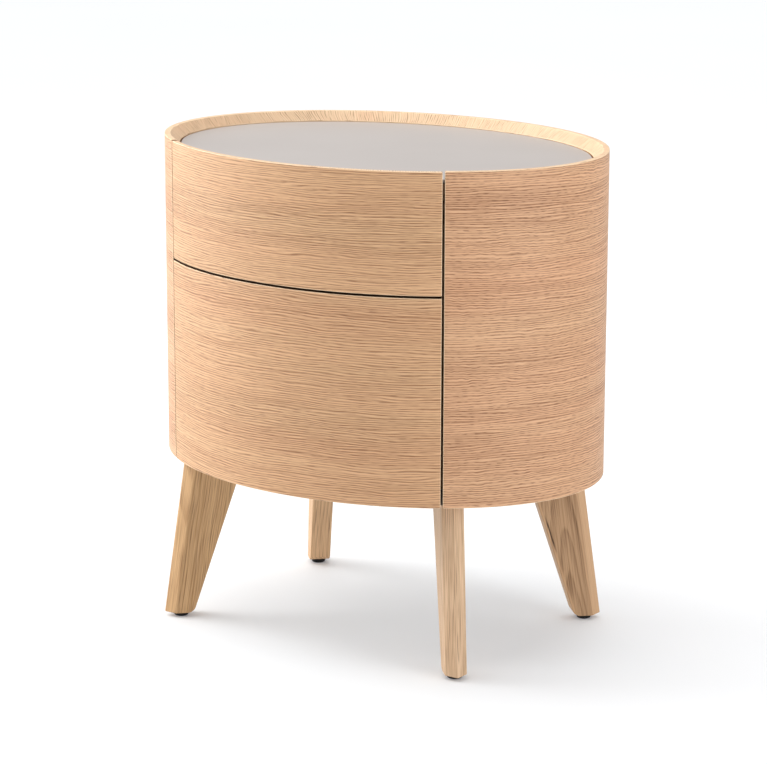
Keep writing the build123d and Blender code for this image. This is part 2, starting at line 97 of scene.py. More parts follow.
# ---- The glides ----
GLIDE_REACH = 214 * MM
GLIDE_OUTLINE = [            # (radius, height) in millimetres: a slightly domed foot under a collar
    (5.6, 0.0), (6.4, 0.12), (7.1, 0.5), (7.55, 1.1), (7.75, 1.8), (7.85, 3.2),
    (8.15, 3.3), (8.25, 3.5), (8.25, 4.2), (8.1, 4.45), (7.8, 4.5),
]

# ---- The latch springs ----
SPRING_TURNS = 5
SPRING_WIRE = 0.5 * MM       # wire's radius
SPRING_CLOSING = 0.7         # how much closer the end turns are, up to 1


# ---------------------------------------------------------------- mesh helpers
def mesh_piece(name, points, faces, materials, face_materials=None):
    """A new mesh object in the row frame, with its faces smooth and its normals outwards."""
    mesh = bpy.data.meshes.new(name)
    mesh.from_pydata([tuple(p) for p in points], [], faces)
    for material in materials:
        mesh.materials.append(material)
    for polygon in mesh.polygons:
        polygon.use_smooth = True
        if face_materials:
            polygon.material_index = face_materials[polygon.index]
    bm = bmesh.new()
    bm.from_mesh(mesh)
    bmesh.ops.recalc_face_normals(bm, faces=bm.faces)
    bm.to_mesh(mesh)
    bm.free()
    piece = bpy.data.objects.new(name, mesh)
    bpy.context.scene.collection.objects.link(piece)
    return piece


def skin_faces(rings, count, start=0):
    """Faces of a closed form made of rings of points: quads between the rings, then a cap at each end."""
    faces = []
    for ring in range(rings - 1):
        a, b = start + ring * count, start + (ring + 1) * count
        for index in range(count):
            after = (index + 1) % count
            faces.append((a + index, a + after, b + after, b + index))
    faces.append(tuple(start + index for index in reversed(range(count))))
    faces.append(tuple(start + (rings - 1) * count + index for index in range(count)))
    return faces


def add_bevel(piece, width, segments, angle):
    """A modifier that rounds every edge sharper than the angle, in degrees."""
    bevel = piece.modifiers.new("edges", "BEVEL")
    bevel.width = width
    bevel.segments = segments
    bevel.limit_method = "ANGLE"
    bevel.angle_limit = math.radians(angle)
    bevel.harden_normals = True
    return bevel


def round_edges(piece, width, segments=3, material=-1):
    """Round every sharp edge and keep the result as the piece's own mesh."""
    add_bevel(piece, width, segments, 30).material = material
    apply_modifiers(piece)


def apply_modifiers(piece):
    """Replace the mesh by what its modifiers make of it."""
    bpy.context.view_layer.update()
    graph = bpy.context.evaluated_depsgraph_get()
    made = bpy.data.meshes.new_from_object(piece.evaluated_get(graph), depsgraph=graph)
    piece.modifiers.clear()
    old = piece.data
    piece.data = made
    made.name = piece.name
    bpy.data.meshes.remove(old)


def set_grain(piece, place):
    """Store the wood's own coordinates (along, across, depth), in metres, on every point."""
    mesh = piece.data
    grain = mesh.attributes.new("grain", "FLOAT_VECTOR", "POINT")
    values = [0.0] * (3 * len(mesh.vertices))
    for vertex in mesh.vertices:
        values[3 * vertex.index:3 * vertex.index + 3] = place(vertex.co)
    grain.data.foreach_set("vector", values)


def settle(piece, body, slot, *replaced):
    """Ride on a body and stand for CAD nodes; the finish slot is not used."""
    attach(piece, body)
    if replaced:
        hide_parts(*replaced)
    return piece


# ---------------------------------------------------------------- materials
class Nodes:
    """A short way to write one material's node tree."""

    def __init__(self, name):
        self.material = bpy.data.materials.new(name)
        self.material.use_nodes = True
        self.tree = self.material.node_tree
        self.shader = self.tree.nodes["Principled BSDF"]

    def add(self, kind, **settings):
        node = self.tree.nodes.new(kind)
        for key, value in settings.items():
            setattr(node, key, value)
        return node

    def put(self, socket, value):
        """Give a socket a number, a colour or another node's output."""
        if isinstance(value, bpy.types.NodeSocket):
            self.tree.links.new(value, socket)
        else:
            socket.default_value = value

    def shade(self, **inputs):
        """Set the shader's inputs; an underscore stands for a space in the input's name."""
        for name, value in inputs.items():
            self.put(self.shader.inputs[name.replace("_", " ")], value)

    def maths(self, operation, a, b=0.0, clamp=False):
        node = self.add("ShaderNodeMath", operation=operation, use_clamp=clamp)
        self.put(node.inputs[0], a)
        self.put(node.inputs[1], b)
        return node.outputs[0]

    def plus(self, a, b, clamp=False):
        return self.maths("ADD", a, b, clamp)

    def minus(self, a, b):
        return self.maths("SUBTRACT", a, b)

    def times(self, a, b, clamp=False):
        return self.maths("MULTIPLY", a, b, clamp)

    def combine(self, x, y, z):
        node = self.add("ShaderNodeCombineXYZ")
        for socket, value in zip(node.inputs, (x, y, z)):
            self.put(socket, value)
        return node.outputs[0]

    def separate(self, vector):
        node = self.add("ShaderNodeSeparateXYZ")
        self.put(node.inputs[0], vector)
        return tuple(node.outputs)

    def noise(self, vector, detail=2.0, rough=0.5):
        """Smooth noise at the vector's own scale; most of its values lie between 0.3 and 0.7."""
        node = self.add("ShaderNodeTexNoise")
        self.put(node.inputs["Vector"], vector)
        node.inputs["Scale"].default_value = 1.0
        node.inputs["Detail"].default_value = detail
        node.inputs["Roughness"].default_value = rough
        return node.outputs["Fac"]

    def remap(self, value, low, high, to_low=0.0, to_high=1.0):
        node = self.add("ShaderNodeMapRange")
        self.put(node.inputs["Value"], value)
        node.inputs["From Min"].default_value = low
        node.inputs["From Max"].default_value = high
        node.inputs["To Min"].default_value = to_low
        node.inputs["To Max"].default_value = to_high
        return node.outputs["Result"]

    def spread(self, noise, low=0.0, high=1.0):
        """A noise's usual values, drawn out from low to high."""
        return self.remap(noise, 0.3, 0.7, low, high)

    def swing(self, noise, reach):
        """A noise's usual values, drawn out to the reach on both sides of zero."""
        return self.spread(noise, -reach, reach)

    def mix(self, factor, a, b, blend="MIX"):
        node = self.add("ShaderNodeMix", data_type="RGBA", blend_type=blend)
        self.put(node.inputs[0], factor)
        for socket, value in ((node.inputs[6], a), (node.inputs[7], b)):
            self.put(socket, value if isinstance(value, bpy.types.NodeSocket) else (*value, 1))
        return node.outputs[2]

    def bump(self, height, strength, distance):
        node = self.add("ShaderNodeBump")
        node.inputs["Strength"].default_value = strength
        node.inputs["Distance"].default_value = distance
        self.put(node.inputs["Height"], height)
        return node.outputs["Normal"]


def linear(red, green, blue):
    """A colour given as 0 to 255 screen values, as linear light."""
    return tuple(
        c / 12.92 if c <= 0.04045 else ((c + 0.055) / 1.055) ** 2.4
        for c in (red / 255, green / 255, blue / 255)
    )


def grain_axes(n):
    """The three wood coordinates of the piece: along the grain, across it, and depth."""
    grain = n.add("ShaderNodeAttribute", attribute_name="grain", attribute_type="GEOMETRY")
    return n.separate(grain.outputs["Vector"])


VENEER_PORE = linear(122, 82, 53)
LEG_PORE = linear(98, 68, 46)


def veneer(name, light, dark, through=False, ticks=(95, 1000), tick_strength=0.55,
           growth_weight=0.52, banding=0.14, wavelets=0.0, contrast=1.4):
    """Straight-grained oak veneer: close growth lines, pores in rows, pale streaks, bands and wavelets.

    Through turns the grain through the wall's thickness. Ticks are the pores' rates along and across it.
    """
    n = Nodes(name)
    x, y, z = grain_axes(n)
    run, cross, deep = (z, x, y) if through else (x, y, z)

    def field(run_rate, cross_rate, shift, across=cross, **settings):
        """Noise at these rates per metre along and across the grain; the shift sets fields apart."""
        lift = n.plus(n.times(across, cross_rate), shift)
        return n.noise(n.combine(n.times(run, run_rate), lift, n.times(deep, 40)), **settings)

    # The grain wanders slowly, and in patches it ripples.
    bent = n.plus(cross, n.swing(field(3.5, 6, 0, detail=1), 3.2 * MM))
    if wavelets:
        patch = n.remap(field(6, 16, 11, detail=1), 0.44, 0.58)
        ripple = n.swing(field(105, 60, 3, detail=1), 0.7 * MM)
        bent = n.plus(bent, n.times(ripple, n.times(patch, wavelets)))

    # Growth lines at an uneven pitch, which fade in and out.
    drift = n.times(field(14, 110, 4, bent, detail=1), 2.6)
    turns = n.plus(n.maths("DIVIDE", bent, LINE_PITCH), drift)
    growth = n.maths("SINE", n.times(turns, 2 * math.pi))
    in_row = n.remap(growth, -0.3, 0.8)
    growth = n.times(growth, n.remap(field(50, 200, 9, bent, detail=1), 0.35, 0.65))

    lines = field(10, 1000, 8, bent, detail=1, rough=0.6)
    streaks = n.remap(field(7, 300, 17, bent, detail=1), 0.52, 0.72)
    bands = field(1.2, 26, 1, bent, detail=3, rough=0.65)
    hue = n.remap(field(1, 18, 21, bent, detail=2, rough=0.6), 0.35, 0.65)

    tone = n.plus(n.times(growth, growth_weight), n.swing(lines, 0.17))
    tone = n.plus(tone, n.swing(bands, banding))
    tone = n.minus(tone, n.times(streaks, 0.14))
    tone = n.plus(n.times(tone, contrast), 0.40, clamp=True)
    colour = n.mix(tone, light, dark)

    # Pores: short dark ticks in the growth lines, more of them in the darker bands.
    pores = n.remap(field(*ticks, 13, bent, detail=0), 0.48, 0.62)
    pores = n.times(pores, n.times(in_row, n.remap(bands, 0.35, 0.65, 0.5, 1.1)))
    pores = n.times(pores, tick_strength, clamp=True)
    colour = n.mix(pores, colour, VENEER_PORE)
    colour = n.mix(1.0, colour, n.mix(hue, (1.0, 1.0, 0.98), (1.0, 0.94, 0.91)), blend="MULTIPLY")

    height = n.minus(n.times(lines, 0.3), pores)
    n.shade(
        Base_Color=colour,
        Roughness=n.spread(lines, 0.50, 0.62),
        Specular_IOR_Level=0.5,
        Normal=n.bump(height, 0.25, 0.10 * MM),
    )
    return n.material


def solid_oak(name, light, dark, pith, slope, seed, figure=0.7, wander=1 * MM, ring=1.9 * MM, nose_highlight=0.0):
    """Solid oak: growth rings about a pith beside the piece, cut by its faces, with pores.

    The pith lies so far across and deep, and leans by the slope. The rings are a ring apart and wander.
    Figure is how strong they are. Nose highlight is how much paler the nose is painted, as a painted
    highlight, and the strip along the heel.
    """
    n = Nodes(name)
    run, cross, deep = grain_axes(n)

    def field(run_rate, cross_rate, shift, **settings):
        """Noise at these rates per metre along and across the grain."""
        along = n.plus(n.times(run, run_rate), seed + shift)
        return n.noise(n.combine(along, n.times(cross, cross_rate), n.times(deep, cross_rate)), **settings)

    # Distance from the pith, and so the place in the ring, from its start at 0 to its end at 1.
    push = n.swing(field(9, 12, 0, detail=1), wander)
    side = n.plus(n.minus(cross, pith[0]), push)
    back = n.plus(n.minus(deep, pith[1]), n.swing(field(7, 12, 7, detail=1), wander))
    back = n.plus(back, n.times(run, slope))
    radius = n.maths("SQRT", n.plus(n.times(side, side), n.times(back, back)))
    jitter = n.noise(n.combine(n.times(run, 4), n.times(radius, 200), seed), detail=2)
    in_ring = n.maths("FRACT", n.plus(n.maths("DIVIDE", radius, ring), n.times(jitter, 1.4)))
    growth = n.times(n.remap(in_ring, 0.2, 0.85), n.remap(in_ring, 0.85, 1.0, 1.0, 0.0), clamp=True)

    fine = field(16, 900, 3, detail=2, rough=0.7)
    broad = field(5, 60, 9, detail=2)
    tone = n.plus(n.times(growth, 0.5 * figure), n.swing(fine, 0.45))
    tone = n.plus(tone, n.spread(broad, 0.0, 0.34), clamp=True)
    colour = n.mix(tone, light, dark)

    pores = n.remap(field(26, 1100, 5, detail=1, rough=0.6), 0.52, 0.66)
    pores = n.times(pores, n.plus(n.times(growth, 0.5), 0.15), clamp=True)
    colour = n.mix(pores, colour, LEG_PORE)
    # The nose is painted paler as a painted highlight, and the strip along the heel is painted pale as well.
    if nose_highlight:
        colour = add_nose_highlight_and_heel_strip(n, colour, tuple(min(1.0, 1.35 * c) for c in light), nose_highlight, fine, push)

    height = n.minus(n.times(fine, 0.35), pores)
    n.shade(
        Base_Color=colour,
        Roughness=n.spread(fine, 0.48, 0.60),
        Specular_IOR_Level=0.35,
        Normal=n.bump(height, 0.35, 0.12 * MM),
    )
    return n.material


def add_nose_highlight_and_heel_strip(n, colour, pale_colour, strength, fine, push):
    """Painted highlight on a leg's nose, which is painted paler; also a pale strip along its heel, with a
    dark streak beside that strip.
    """
    run, cross, _ = grain_axes(n)
    nose_to_heel = LEG_NOSE[0] - LEG_HEEL[0]
    widening = (LEG_NOSE[1] - LEG_HEEL[1] - nose_to_heel) / BODY_BOTTOM
    from_heel = n.plus(n.plus(n.times(run, widening), nose_to_heel), cross)
    # Painted highlight on the nose, within 9 mm of its line.
    lit_nose = n.remap(cross, -16 * MM, -9 * MM)
    on_heel = n.remap(from_heel, 2.0 * MM, 3.2 * MM, 0.8, 0.0)
    colour = n.mix(n.times(n.maths("MAXIMUM", lit_nose, on_heel), strength), colour, pale_colour)

    streak_line = 3.4 * MM
    off_line = n.plus(n.minus(from_heel, streak_line), n.swing(fine, 0.4 * MM))
    off_line = n.maths("ABSOLUTE", n.plus(off_line, n.times(push, 0.2)))
    starts, ends = n.remap(run, 76 * MM, 90 * MM), n.remap(run, 108 * MM, 120 * MM, 1.0, 0.0)
    streak = n.times(n.remap(off_line, 0.3 * MM, 1.4 * MM, 0.95, 0.0), n.times(starts, ends))
    return n.mix(streak, colour, tuple(0.4 * c for c in LEG_PORE))


def object_point(n, rate):
    """The piece's own coordinates, at this rate per metre."""
    place = n.add("ShaderNodeTexCoord")
    scaled = n.add("ShaderNodeVectorMath", operation="SCALE")
    n.put(scaled.inputs[0], place.outputs["Object"])
    scaled.inputs["Scale"].default_value = rate
    return scaled.outputs[0]


def plain(name, colour, variation, roughness, metallic=0.0, grain_rate=900, texture=0.15, specular=0.5):
    """Moulded plastic, sheet metal or rubber: slight tone change, fine texture in the gloss."""
    n = Nodes(name)
    coarse = n.noise(object_point(n, 35))
    fine = n.noise(object_point(n, grain_rate), rough=0.6)
    darker = tuple(c * (1 - variation) for c in colour)
    n.shade(
        Base_Color=n.mix(n.spread(coarse), colour, darker),
        Roughness=n.spread(fine, roughness * 0.85, roughness * 1.15),
        Metallic=metallic,
        Specular_IOR_Level=specular,
        Normal=n.bump(fine, texture, 0.05 * MM),
    )
    return n.material


def foil_board():
    """A board with pale grey foil on its faces and bare, dark edges."""
    n = Nodes("foil_board")
    speck = n.noise(object_point(n, 1500), rough=0.6)
    fibre = n.noise(object_point(n, 300), detail=3, rough=0.6)
    upright = n.separate(n.add("ShaderNodeNewGeometry").outputs["Normal"])[2]
    is_face = n.remap(n.maths("ABSOLUTE", upright), 0.6, 0.8)
    foil = n.mix(n.spread(speck), linear(200, 197, 192), linear(192, 189, 184))
    edge = n.mix(n.spread(fibre), linear(84, 64, 46), linear(64, 48, 34))
    n.shade(
        Base_Color=n.mix(is_face, edge, foil),
        Roughness=n.spread(speck, 0.48, 0.60),
        Normal=n.bump(speck, 0.1, 0.05 * MM),
    )
    return n.material


def satin_glass():
    """Back-painted glass with an etched satin face."""
    n = Nodes("satin_glass")
    cloud = n.noise(object_point(n, 6))
    etch = n.noise(object_point(n, 2500))
    n.shade(
        Base_Color=n.mix(n.spread(cloud), linear(172, 165, 161), linear(167, 160, 156)),
        Roughness=n.spread(etch, 0.36, 0.44),
        Specular_IOR_Level=0.5,
        Coat_Weight=0.15,
        Coat_Roughness=0.3,
        Normal=n.bump(etch, 0.05, 0.01 * MM),
    )
    return n.material


FRONT_VENEER = veneer("front_veneer", linear(211, 170, 130), linear(158, 117, 81))
SHELL_VENEER = veneer(
    "shell_veneer", linear(213, 169, 132), linear(158, 115, 81),
    ticks=(150, 1000), tick_strength=0.80, growth_weight=0.44, banding=0.20, wavelets=0.7,
)
RIM_OAK = veneer("rim_oak", linear(232, 202, 168), linear(200, 165, 128), through=True, contrast=0.7)
# Paler oak on the walls' rounded edges: a painted highlight along every edge.
EDGE_HIGHLIGHT_OAK = veneer("edge_highlight_oak", linear(240, 214, 180), linear(214, 182, 144), contrast=0.5)
# Dark oak on every face that looks into a shadow gap: painted shade that keeps the gaps dark.
GAP_SHADE_OAK = veneer("gap_shade_oak", linear(104, 76, 52), linear(76, 54, 36), contrast=0.6)
BOARD_OAK = veneer("board_oak", linear(212, 174, 136), linear(182, 142, 104))
PANEL_OAK = veneer("panel_oak", linear(208, 169, 131), linear(178, 136, 100))
LEG_OAK = {
    "front_left": solid_oak(
        "leg_oak_front_left", linear(203, 164, 119), linear(152, 113, 71),
        pith=(90 * MM, 120 * MM), slope=0.02, seed=3, wander=2 * MM,
    ),
    "front_right": solid_oak(
        "leg_oak_front_right", linear(221, 188, 154), linear(168, 133, 98),
        pith=(100 * MM, 80 * MM), slope=0.01, seed=11,
    ),
    "rear_left": solid_oak(
        "leg_oak_rear_left", linear(214, 176, 136), linear(162, 125, 88),
        pith=(130 * MM, 60 * MM), slope=0.01, seed=23, figure=0.6, ring=1.7 * MM,
    ),
    # Darker than the other legs: painted shade for its side faces, which sit in shade; its nose is painted
    # paler as a painted highlight.
    "rear_right": solid_oak(
        "leg_oak_rear_right", linear(183, 147, 111), linear(131, 97, 66),
        pith=(-32 * MM, -35 * MM), slope=0.045, seed=31, figure=1.0, wander=2 * MM, ring=3 * MM, nose_highlight=0.6,
    ),
}
GLASS = satin_glass()
BLACK = plain("black_plastic", linear(18, 18, 19), 0.2, 0.55, specular=0.3)
STEEL = plain("runner_steel", linear(176, 178, 182), 0.12, 0.34, metallic=1.0, grain_rate=500)
ZINC = plain("zinc_steel", linear(186, 184, 178), 0.15, 0.38, metallic=1.0, grain_rate=500)
GREY = plain("grey_plastic", linear(120, 122, 124), 0.1, 0.45)
CLEAR = plain("clear_bumper", linear(214, 214, 210), 0.05, 0.3, texture=0.02)
BEECH = plain("beech", linear(206, 170, 130), 0.18, 0.6)
FOIL = foil_board()


# ---------------------------------------------------------------- curved body
def oval_point(turn, inset, height):
    return Vector(((HALF_X - inset) * math.cos(turn), (HALF_Y - inset) * math.sin(turn), height))


def seam_turn(inset, gap):
    """Angle on the inset oval where the right-hand seam's plane, moved by the gap, meets it."""
    across = math.cos(SEAM_ANGLE) * SEAM_X + math.sin(SEAM_ANGLE) * SEAM_Y + gap
    wide = (HALF_X - inset) * math.cos(SEAM_ANGLE)
    deep = (HALF_Y - inset) * math.sin(SEAM_ANGLE)
    return math.atan2(deep, wide) - math.acos(across / math.hypot(wide, deep))


def shell_span(inset):
    """Angles of the right and the left seam, counter-clockwise round the back."""
    right = seam_turn(inset, SHADOW_GAP / 2)
    return right, math.pi - right


def front_span(inset):
    """Angles of the left and the right seam, counter-clockwise round the front."""
    right = seam_turn(inset, -SHADOW_GAP / 2)
    return -math.pi - right, right


def build_arc_lengths(steps=720):
    """Distance round the outer oval from the middle of its right side, at equal steps of the angle."""
    lengths = [0.0]
    for step in range(steps):
        here = oval_point(2 * math.pi * step / steps, 0, 0)
        there = oval_point(2 * math.pi * (step + 1) / steps, 0, 0)
        lengths.append(lengths[-1] + (there - here).length)
    return lengths


ARC_LENGTHS = build_arc_lengths()


def arc_length(point, start):
    """Distance round the outer oval, counter-clockwise, counted from the angle where it is cut."""
    turn = math.atan2(point.y / HALF_Y, point.x / HALF_X)
    rounds = math.floor((turn - start) / (2 * math.pi))
    turn -= 2 * math.pi * rounds
    whole = math.floor(turn / (2 * math.pi))
    place = (turn / (2 * math.pi) - whole) * (len(ARC_LENGTHS) - 1)
    low = min(int(place), len(ARC_LENGTHS) - 2)
    part = ARC_LENGTHS[low] + (place - low) * (ARC_LENGTHS[low + 1] - ARC_LENGTHS[low])
    return whole * ARC_LENGTHS[-1] + part


def wall_section(low, high, veneer_oak, top, bottom):
    """Corners of a curved wall's section as (inset, height, material of the side that follows).

    The outer face comes first. A rim on top is flat, then bevelled down to the inner face.
    """
    section = [(0, low, veneer_oak), (0, high, top)]
    if top is RIM_OAK:
        section += [(WALL - RIM_BEVEL, high, top), (WALL, high - RIM_BEVEL, veneer_oak)]
    else:
        section += [(WALL, high, veneer_oak)]
    return section + [(WALL, low, bottom)]


def curved_wall(name, section, span, steps, corners):
    """Sweep a section round the oval between two seams, and round its edges."""
    veneer_oak = section[0][2]
    materials = [veneer_oak, RIM_OAK, EDGE_HIGHLIGHT_OAK, GAP_SHADE_OAK]
    points = []
    for step in range(steps + 1):
        for inset, height, _ in section:
            start, end = span(inset)
            points.append(oval_point(start + step / steps * (end - start), inset, height))
    face_materials = [materials.index(material) for _, _, material in section] * steps
    # The end caps face the shadow gaps at the seams and carry the painted shade.
    face_materials += [materials.index(GAP_SHADE_OAK)] * 2
    piece = mesh_piece(name, points, skin_faces(steps + 1, len(section)), materials, face_materials)
    round_corners(piece, len(section), steps, corners)
    # The rounded edges take the paler oak of the painted highlight.
    round_edges(piece, WALL_ARRIS, material=materials.index(EDGE_HIGHLIGHT_OAK))
    return piece


def round_corners(piece, count, steps, corners):
    """Round the edges of both ends of a wall; corners holds (radius, sides of the section)."""
    bm = bmesh.new()
    bm.from_mesh(piece.data)
    bm.verts.ensure_lookup_table()
    groups = []
    for radius, sides in corners:
        edges = []
        for ring in (0, steps):
            for side in sides:
                a, b = bm.verts[ring * count + side], bm.verts[ring * count + (side + 1) % count]
                edges += [edge for edge in a.link_edges if edge.other_vert(a) == b]
        groups.append((radius, edges))
    for radius, edges in groups:
        bmesh.ops.bevel(bm, geom=edges, offset=radius, segments=4, profile=0.5, affect="EDGES")
    bm.to_mesh(piece.data)
    bm.free()


def veneer_place(start, shift):
    """Wood coordinates on a curved wall: round the oval, up, and into the thickness."""

    def place(point):
        inset = HALF_X * (1 - math.hypot(point.x / HALF_X, point.y / HALF_Y))
        return (arc_length(point, start) + shift, point.z, inset)

    return place


def build_body():
    """The shell round the sides and the back, and the two fronts; the shift takes each to wood of its own."""
    section = wall_section(BODY_BOTTOM, RIM_TOP, SHELL_VENEER, top=RIM_OAK, bottom=SHELL_VENEER)
    corners = [(RIM_CORNER, (1, 2)), (LOWER_CORNER, (4,))]
    shell = curved_wall("oak_side_shell", section, shell_span, SHELL_STEPS, corners)
    set_grain(shell, veneer_place(-math.pi / 2, 5.0))
    settle(shell, "root", "oak_veneer", "side_shell")

    for name, (low, high) in FRONT_BOXES.items():
        # The faces between the two fronts look into a shadow gap and carry its painted shade.
        if name == "upper":
            section = wall_section(low.z, high.z, FRONT_VENEER, top=RIM_OAK, bottom=GAP_SHADE_OAK)
            corners = [(RIM_CORNER, (1, 2))]
        else:
            section = wall_section(low.z, high.z, FRONT_VENEER, top=GAP_SHADE_OAK, bottom=FRONT_VENEER)
            corners = [(LOWER_CORNER, (3,))]
        front = curved_wall(f"oak_{name}_front", section, front_span, FRONT_STEPS, corners)
        set_grain(front, veneer_place(math.pi / 2, 2.0))
        settle(front, f"{name}_drawer", "oak_veneer", f"{name}_front")


def build_glass(steps=256):
    """The glass plate, with a rounded edge."""
    middle = (GLASS_LOW + GLASS_HIGH) / 2
    half = (GLASS_HIGH - GLASS_LOW) / 2
    points = []
    for height in (GLASS_LOW.z, GLASS_HIGH.z):
        for step in range(steps):
            turn = 2 * math.pi * step / steps
            points.append((middle.x + half.x * math.cos(turn), middle.y + half.y * math.sin(turn), height))
    glass = mesh_piece("glass_plate", points, skin_faces(2, steps), [GLASS])
    round_edges(glass, GLASS_ARRIS)
    settle(glass, "root", "satin_glass", "glass_top")


# ---------------------------------------------------------------- legs and glides
def leg_reach(line, height):
    """How far out a leg's nose or heel stands at a height."""
    return line[0] + (line[1] - line[0]) * height / BODY_BOTTOM


def leg_frame(corner):
    """For a corner: the directions out along its diagonal and across it, and the leg's offset across it."""
    out = Vector((corner[0], corner[1], 0)).normalized()
    across = Vector((-out.y, out.x, 0))
    return out, across, -LEG_OFFSET * corner[0] * corner[1]


def build_leg(name, corner):
    """A tapered leg with five sides: a flat back with a rounded edge, and a nose that points outwards."""
    low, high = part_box(f"{name}_leg")
    out, across, offset = leg_frame(corner)
    half = LEG_THICKNESS / 2
    points = []
    for row in range(LEG_ROWS + 1):
        height = low.z + (high.z - low.z) * row / LEG_ROWS
        nose, heel = leg_reach(LEG_NOSE, height), leg_reach(LEG_HEEL, height)
        outline = (heel, -half), (nose - half, -half), (nose, 0), (nose - half, half), (heel, half)
        for reach, side in outline:
            points.append(out * reach + across * (offset + side) + Vector((0, 0, height)))
    leg = mesh_piece(f"oak_{name}_leg", points, skin_faces(LEG_ROWS + 1, 5), [LEG_OAK[name]])
    round_leg(leg)

    # The figure runs parallel to the nose, and in the rear left leg to the heel.
    grain_line = LEG_HEEL if name == "rear_left" else LEG_NOSE

    def place(point):
        return (point.z, point.dot(out) - leg_reach(grain_line, point.z), point.dot(across) - offset)

    set_grain(leg, place)
    settle(leg, "root", "solid_oak", f"{name}_leg")


def round_leg(leg):
    """Round the foot's inner edge, then the nose, then every other edge."""
    bm = bmesh.new()
    bm.from_mesh(leg.data)
    bm.verts.ensure_lookup_table()
    nose = {bm.verts[row * 5 + 2] for row in range(LEG_ROWS + 1)}
    nose_edges = [edge for edge in bm.edges if set(edge.verts) <= nose]
    foot = bm.verts[0]
    foot_edge = [edge for edge in foot.link_edges if edge.other_vert(foot) == bm.verts[4]]
    for edges, rounding, segments in ((foot_edge, LEG_HEEL_ROUNDING, 8), (nose_edges, LEG_NOSE_ROUNDING, 5)):
        bmesh.ops.bevel(bm, geom=edges, offset=rounding, segments=segments, profile=0.5, affect="EDGES")
    bm.to_mesh(leg.data)
    bm.free()
    round_edges(leg, LEG_ARRIS, 4)


def lathe(name, outline, places, materials, steps=40):
    """One mesh with a turned form at each place; the outline is (radius, height) points."""
    points, faces = [], []
    for place in places:
        faces += skin_faces(len(outline), steps, len(points))
        for radius, height in outline:
            for step in range(steps):
                turn = 2 * math.pi * step / steps
                points.append(place + Vector((radius * math.cos(turn), radius * math.sin(turn), height)))
    return mesh_piece(name, points, faces, materials)


def build_glides():
    places = []
    for corner in CORNERS.values():
        out, across, offset = leg_frame(corner)
        places.append(out * GLIDE_REACH + across * offset)
    outline = [(radius * MM, height * MM) for radius, height in GLIDE_OUTLINE]
    glides = lathe("round_glides", outline, places, [BLACK])
    settle(glides, "root", "black_plastic", "glides")


# ---------------------------------------------------------------- latch springs
def build_spring(drawer, steps=160, sides=10):
    """A latch's right-hand coil spring with closed end turns."""
    low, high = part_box(f"{drawer}_latch_spring")
    middle = (low + high) / 2
    coil = (high.x - low.x) / 2 - SPRING_WIRE
    length = high.y - low.y - 2 * SPRING_WIRE
    points = []
    for step in range(steps + 1):
        share = step / steps
        rise = share - SPRING_CLOSING * math.sin(2 * math.pi * share) / (2 * math.pi)
        turn = 2 * math.pi * SPRING_TURNS * share
        out = Vector((math.cos(turn), 0, -math.sin(turn)))
        centre = Vector((middle.x, low.y + SPRING_WIRE + rise * length, middle.z)) + out * coil
        for side in range(sides):
            lean = 2 * math.pi * side / sides
            points.append(centre + (out * math.cos(lean) + Vector((0, math.sin(lean), 0))) * SPRING_WIRE)
    spring = mesh_piece(f"{drawer}_coil_spring", points, skin_faces(steps + 1, sides), [ZINC])
    settle(spring, "root", "zinc_steel", f"{drawer}_latch_spring")
    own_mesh(spring)


# ---------------------------------------------------------------- CAD nodes that stay
def node_material(name):
    """The material of a CAD node, from its name."""
    if "screw" in name or name in ("leg_bolts", "leg_washers", "leg_inserts"):
        return ZINC
    if "rail" in name:
        return STEEL
    if "latch" in name:
        return GREY
    if "dowel" in name or name == "glue_blocks":
        return BEECH
    if name == "glass_pads":
        return CLEAR
    if name == "bottom_panel":
        return FOIL
    if name in ("top_panel", "divider_panel") or "partition" in name:
        return PANEL_OAK
    return BOARD_OAK


def finish_cad_nodes():
    """Give every CAD node that still shows its material and its grain; boards, panels and steel get lightly
    eased edges.
    """
    for name, node in NODES.items():
        if node.hide_render:
            continue
        material = node_material(name)
        node.data.materials.clear()
        node.data.materials.append(material)
        set_board_grain(name, node)
        if material in (BOARD_OAK, PANEL_OAK, FOIL, STEEL):
            add_bevel(node, STEEL_ARRIS if material is STEEL else BOARD_ARRIS, 2, 40)


def set_board_grain(name, node):
    """Wood coordinates for a flat board: its longest side is the grain."""
    low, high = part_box(name)
    size = high - low
    order = sorted(range(3), key=lambda axis: -size[axis])
    set_grain(node, lambda point: (point[order[0]], point[order[1]], point[order[2]]))


# ---------------------------------------------------------------- stage, light, camera
CAMERA_AZIMUTH = 0.6205      # angles in radians, distances in metres
CAMERA_DISTANCE = 3.1178
CAMERA_HEIGHT = 0.9946
CAMERA_PITCH = 0.2317
CAMERA_YAW = 0.0002          # to the right
CAMERA_ROLL = 0.0023         # counter-clockwise
CAMERA_LENS = 141.6          # on a sensor 36 mm wide

# Directions on the floor, as the camera sees them.
NEAR = Vector((math.sin(CAMERA_AZIMUTH), -math.cos(CAMERA_AZIMUTH), 0))
RIGHT = Vector((math.cos(CAMERA_AZIMUTH), math.sin(CAMERA_AZIMUTH), 0))
UP = Vector((0, 0, 1))

KEY_PLACE = -RIGHT * 2.3 - NEAR * 0.7 + UP * 1.3
KEY_SIZE = (1.6, 2.0)
FILL_PLACE = RIGHT * 1.9 + NEAR * 1.5 + UP * 1.0
FILL_SIZE = (1.2, 1.8)
LIGHT_TARGET = UP * 0.3
FLOOR_REACH = 30
BACKDROP_RADIUS = 24.0
BACKDROP_DROP = 0.3          # so that the backdrop's lower edge is near the floor


def aim(thing, direction):
    """Turn a light or a camera to look in a direction."""
    thing.rotation_mode = "QUATERNION"
    thing.rotation_quaternion = direction.to_track_quat("-Z", "Y")


